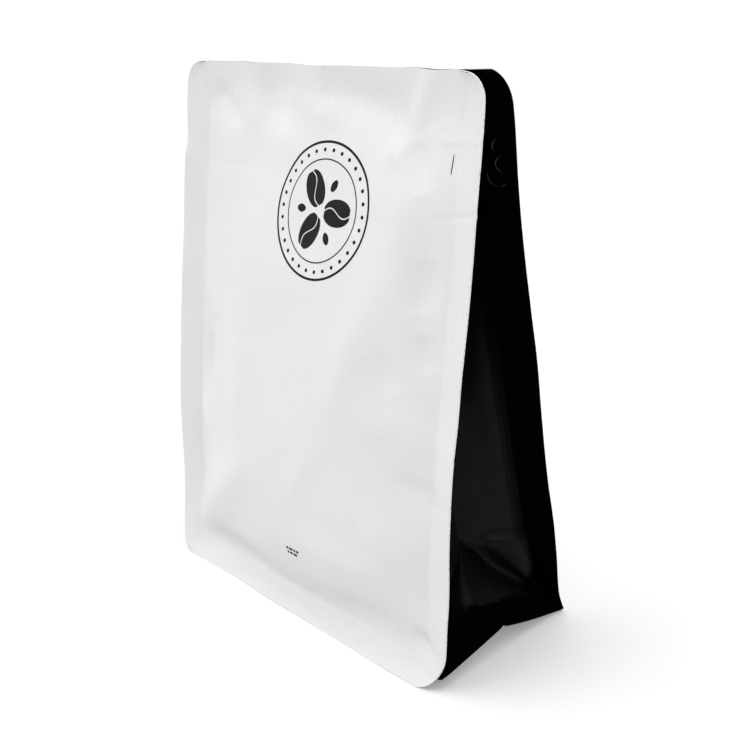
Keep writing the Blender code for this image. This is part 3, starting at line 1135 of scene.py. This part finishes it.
@dataclass(frozen=True)
class FilmFinish:
    """A laminated packaging film: its colour, its sheen, and the fine unevenness of its surface."""

    name: str
    colour: tuple[float, float, float]
    specks: Specks
    roughness: tuple[float, float]
    specular: float
    grain: Grain
    crinkle: Grain

    def material(self) -> bpy.types.Material:
        """Builds the material from noise on object coordinates."""
        material = bpy.data.materials.new(self.name)
        material.use_nodes = True
        nodes, links = material.node_tree.nodes, material.node_tree.links
        shader = nodes["Principled BSDF"]
        shader.inputs["Specular IOR Level"].default_value = self.specular
        place = nodes.new("ShaderNodeTexCoord").outputs["Object"]

        def noise(size: float, detail: float) -> bpy.types.NodeSocket:
            """Noise whose grains are about size millimetres across."""
            texture = nodes.new("ShaderNodeTexNoise")
            texture.inputs["Scale"].default_value = 1.0 / (size * MM)
            texture.inputs["Detail"].default_value = detail
            links.new(place, texture.inputs["Vector"])
            return texture.outputs["Fac"]

        def ranged(
            value: bpy.types.NodeSocket, start: tuple[float, float], end: tuple[float, float]
        ) -> bpy.types.NodeSocket:
            """Maps one range of a value onto another."""
            ramp = nodes.new("ShaderNodeMapRange")
            ramp.inputs["From Min"].default_value, ramp.inputs["From Max"].default_value = start
            ramp.inputs["To Min"].default_value, ramp.inputs["To Max"].default_value = end
            links.new(value, ramp.inputs["Value"])
            return ramp.outputs["Result"]

        amount = ranged(noise(self.specks.size, 2.0), self.specks.spread, (0.0, 1.0))
        # Painted shade: the lighter specks thin out between the two heights, so the film darkens towards the top.
        if self.specks.fade:
            height = nodes.new("ShaderNodeSeparateXYZ")
            links.new(place, height.inputs["Vector"])
            low, high = (level * MM for level in self.specks.fade)
            painted_shade_amount = nodes.new("ShaderNodeMath")
            painted_shade_amount.operation = "MULTIPLY"
            links.new(amount, painted_shade_amount.inputs[0])
            links.new(ranged(height.outputs["Z"], (low, high), (1.0, 0.0)), painted_shade_amount.inputs[1])
            amount = painted_shade_amount.outputs["Value"]
        tint = nodes.new("ShaderNodeMix")
        tint.data_type = "RGBA"
        tint.inputs["A"].default_value = (*self.colour, 1.0)
        tint.inputs["B"].default_value = (*self.specks.colour, 1.0)
        links.new(amount, tint.inputs["Factor"])
        links.new(tint.outputs["Result"], shader.inputs["Base Color"])
        links.new(ranged(noise(9.0, 4.0), (0.0, 1.0), self.roughness), shader.inputs["Roughness"])
        normal = None
        for layer in (self.crinkle, self.grain):
            bump = nodes.new("ShaderNodeBump")
            bump.inputs["Distance"].default_value = layer.depth * MM
            links.new(noise(layer.size, 2.0), bump.inputs["Height"])
            if normal is not None:
                links.new(normal, bump.inputs["Normal"])
            normal = bump.outputs["Normal"]
        links.new(normal, shader.inputs["Normal"])
        return material


WHITE_FILM = FilmFinish(
    "white_film", (0.72, 0.72, 0.72), Specks((0.685, 0.685, 0.685), 0.5),
    (0.42, 0.52), 0.22, Grain(0.35, 0.006), Grain(6.0, 0.05),
)
WHITE_WELD = FilmFinish(
    "white_weld", (0.715, 0.715, 0.715), Specks((0.685, 0.685, 0.685), 1.2),
    (0.38, 0.48), 0.22, Grain(0.35, 0.004), Grain(4.0, 0.03),
)
WHITE_EDGE = FilmFinish(
    "white_cut_edge", (0.9, 0.9, 0.9), Specks((0.42, 0.42, 0.42), 0.9, (0.52, 0.68)),
    (0.55, 0.75), 0.2, Grain(0.3, 0.03), Grain(1.2, 0.05),
)
# The black gusset film. Its lighter specks thin out from 52 to 104 mm up: painted shade that darkens the upper,
# narrower part of the tucked V.
BLACK_FILM = FilmFinish(
    "black_film", (0.0003, 0.0003, 0.0003), Specks((0.0058, 0.0058, 0.0062), 0.5, (0.36, 0.66), (52, 104)),
    (0.38, 0.50), 0.09, Grain(0.35, 0.02), Grain(5.0, 0.05),
)
# Painted shade: darker, duller copies of the black film, worn nearer the seam strip, beside the fins and over the back
# lower corner. The last one is the welds' own matte finish, also darkened as painted shade.
BLACK_SHADED_NEAR_SEAM = FilmFinish(
    "black_film_shaded_near_seam", (0.0003, 0.0003, 0.0003), Specks((0.0042, 0.0042, 0.0045), 0.5, (0.36, 0.66), (52, 104)),
    (0.42, 0.54), 0.05, Grain(0.35, 0.02), Grain(5.0, 0.05),
)
BLACK_SHADED_AT_SEAM = FilmFinish(
    "black_film_shaded_at_seam", (0.0003, 0.0003, 0.0003), Specks((0.0028, 0.0028, 0.003), 0.5, (0.36, 0.66), (52, 104)),
    (0.46, 0.56), 0.03, Grain(0.35, 0.015), Grain(5.0, 0.04),
)
BLACK_WELD_SHADED = FilmFinish(
    "black_weld_shaded", (0.0003, 0.0003, 0.0003), Specks((0.0016, 0.0016, 0.0017), 0.6),
    (0.50, 0.60), 0.0, Grain(0.35, 0.006), Grain(4.0, 0.03),
)
BLACK_PRINT = FilmFinish(
    "black_print", (0.007, 0.007, 0.0075), Specks((0.012, 0.012, 0.013), 0.6),
    (0.36, 0.48), 0.12, Grain(0.3, 0.004), Grain(6.0, 0.02),
)
WELD_MARK = FilmFinish(
    "weld_mark", (0.006, 0.006, 0.0065), Specks((0.012, 0.012, 0.013), 0.8),
    (0.18, 0.30), 0.5, Grain(0.3, 0.01), Grain(3.0, 0.02),
)


class Studio:
    """The pale floor, the soft lights and the camera."""

    LENS = 50.386
    SENSOR = 36.0
    PLACE = (0.2589116, -0.2214691, 0.2116667)
    TURN = 47.904
    DROP = 21.144
    ROLL = -3.285
    FLOOR_GLOW = 0.22

    def build(self) -> None:
        """Makes the stage round the bag."""
        self.floor()
        self.lights()
        self.camera()
        self.surround()

    def floor(self) -> None:
        """A wide pale floor."""
        mesh = bpy.data.meshes.new("studio_floor")
        side = 40.0
        mesh.from_pydata([(-side, -side, 0), (side, -side, 0), (side, side, 0), (-side, side, 0)], [], [(0, 1, 2, 3)])
        floor = bpy.data.objects.new("studio_floor", mesh)
        bpy.context.scene.collection.objects.link(floor)
        material = bpy.data.materials.new("studio_floor")
        material.use_nodes = True
        shader = material.node_tree.nodes["Principled BSDF"]
        shader.inputs["Base Color"].default_value = (0.70, 0.70, 0.70, 1.0)
        shader.inputs["Emission Color"].default_value = (1.0, 1.0, 1.0, 1.0)
        shader.inputs["Emission Strength"].default_value = self.FLOOR_GLOW
        shader.inputs["Roughness"].default_value = 0.9
        shader.inputs["Specular IOR Level"].default_value = 0.0
        mesh.materials.append(material)

    def lamp(self, name: str, kind: str, place: tuple[float, float, float], power: float) -> bpy.types.Light:
        """A light aimed at the bag's middle."""
        light = bpy.data.lights.new(name, kind)
        light.energy = power
        lamp = bpy.data.objects.new(name, light)
        lamp.location = place
        aim = Vector((0.0, 0.0, 0.09)) - Vector(place)
        lamp.rotation_euler = aim.to_track_quat("-Z", "Y").to_euler()
        bpy.context.scene.collection.objects.link(lamp)
        return light

    def lights(self) -> None:
        """A broad key from the upper left, a softbox on the right and a broad light overhead."""
        self.lamp("key_light", "SUN", (-1.5, -1.0, 1.55), 1.5).angle = math.radians(60)
        self.lamp("top_light", "SUN", (0.1, -0.3, 2.0), 2.1).angle = math.radians(90)
        self.lamp("back_light", "SUN", (-0.7, 1.5, 1.7), 0.75).angle = math.radians(70)
        self.lamp("side_light", "AREA", (1.50, -0.62, 1.12), 7.0).size = 0.7

    def camera(self) -> None:
        """The camera, a little above the bag and round to its right."""
        data = bpy.data.cameras.new("camera")
        data.sensor_width = self.SENSOR
        data.lens = self.LENS
        camera = bpy.data.objects.new("camera", data)
        turn, drop, roll = (math.radians(angle) for angle in (self.TURN, self.DROP, self.ROLL))
        pose = Matrix.Rotation(turn, 4, "Z") @ Matrix.Rotation(math.pi / 2 - drop, 4, "X")
        camera.matrix_world = Matrix.Translation(self.PLACE) @ pose @ Matrix.Rotation(roll, 4, "Z")
        bpy.context.scene.collection.objects.link(camera)
        bpy.context.scene.camera = camera

    def surround(self) -> None:
        """An even, weak light from all round."""
        world = bpy.data.worlds.new("studio")
        world.use_nodes = True
        world.node_tree.nodes["Background"].inputs["Color"].default_value = (1.0, 1.0, 1.0, 1.0)
        world.node_tree.nodes["Background"].inputs["Strength"].default_value = 0.12
        bpy.context.scene.world = world
        bpy.context.scene.view_settings.view_transform = "Standard"


class CoffeeBag:
    """The whole bag."""

    def __init__(self) -> None:
        """Works out the shapes of the two panels, which every other film follows."""
        sizes = BagSizes.from_frame()
        self.front = PanelShape(
            sizes, -1, (10.0, 13.0), (7.2, 7.6), FRONT_EDGE, FRONT_BELLY, FIN_SPLAY, FRONT_RELIEFS
        )
        self.back = PanelShape(
            sizes, 1, (2.0, 2.0), (7.5, 9.5), BACK_EDGE, BACK_BELLY, FIN_SPLAY, BACK_RELIEFS
        )

    def build(self) -> None:
        """Makes every piece and hands it to the frame."""
        white = [finish.material() for finish in (WHITE_FILM, WHITE_WELD, WHITE_EDGE)]
        # The black film, its two shaded copies and the shaded weld finish, which paint shade on the gussets.
        black = [finish.material() for finish in (BLACK_FILM, BLACK_SHADED_NEAR_SEAM, BLACK_SHADED_AT_SEAM, BLACK_WELD_SHADED)]
        for name, shape, spacing in (("front_panel", self.front, 0.8), ("back_panel", self.back, 1.2)):
            panel = FilmPanel(f"{name}_film", shape, spacing, Ripple(5, 0.15, (25.0, 70.0), 8)).build()
            self.finish(panel, white, "white_film", name)
        panels = (self.front, self.back)
        right = Gusset("right_gusset", panels, 1, Ripple(11, 0.25, (18.0, 60.0)))
        left = Gusset("left_gusset", panels, -1, Ripple(12, 0.25, (18.0, 60.0)))
        for gusset in (right, left):
            self.finish(gusset.build(), black, "black_film", "pouch_body")
        base = Base("base_film", panels, (right, left)).build()
        self.finish(base, black, "black_film", "pouch_body")
        ink, mark = BLACK_PRINT.material(), WELD_MARK.material()
        badge = Badge(self.front).build(ink)
        badge.data.materials.clear()
        self.finish(badge, [ink], "black_film", "front_panel")
        self.finish(Dashes(self.front).build(), [ink], "black_film", "front_panel")
        for name, shape in (("front_panel", self.front), ("back_panel", self.back)):
            # Each slit is a dark skin of painted shade, in the shaded weld finish.
            self.finish(TearSlit(f"{name}_slit", shape).build(), [black[-1]], "black_film", name)
        for name, side in (("right", 1), ("left", -1)):
            welds = TackWelds(f"{name}_tack_welds", self.back, side).build()
            self.finish(welds, [mark], "black_film", "pouch_body")

    def finish(
        self, piece: bpy.types.Object, materials: list[bpy.types.Material], slot: str, node: str
    ) -> None:
        """Dresses a piece, hangs it on the root and hides the imported part that it replaces."""
        for material in materials:
            piece.data.materials.append(material)
        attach(piece, "root")
        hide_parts(node)
        LOG.info("%s: %d points", piece.name, len(piece.data.vertices))


def main() -> None:
    """Builds the bag and its studio."""
    logging.basicConfig(level=logging.INFO, format="%(name)s: %(message)s")
    CoffeeBag().build()
    Studio().build()


if __name__ == "__main__":
    main()
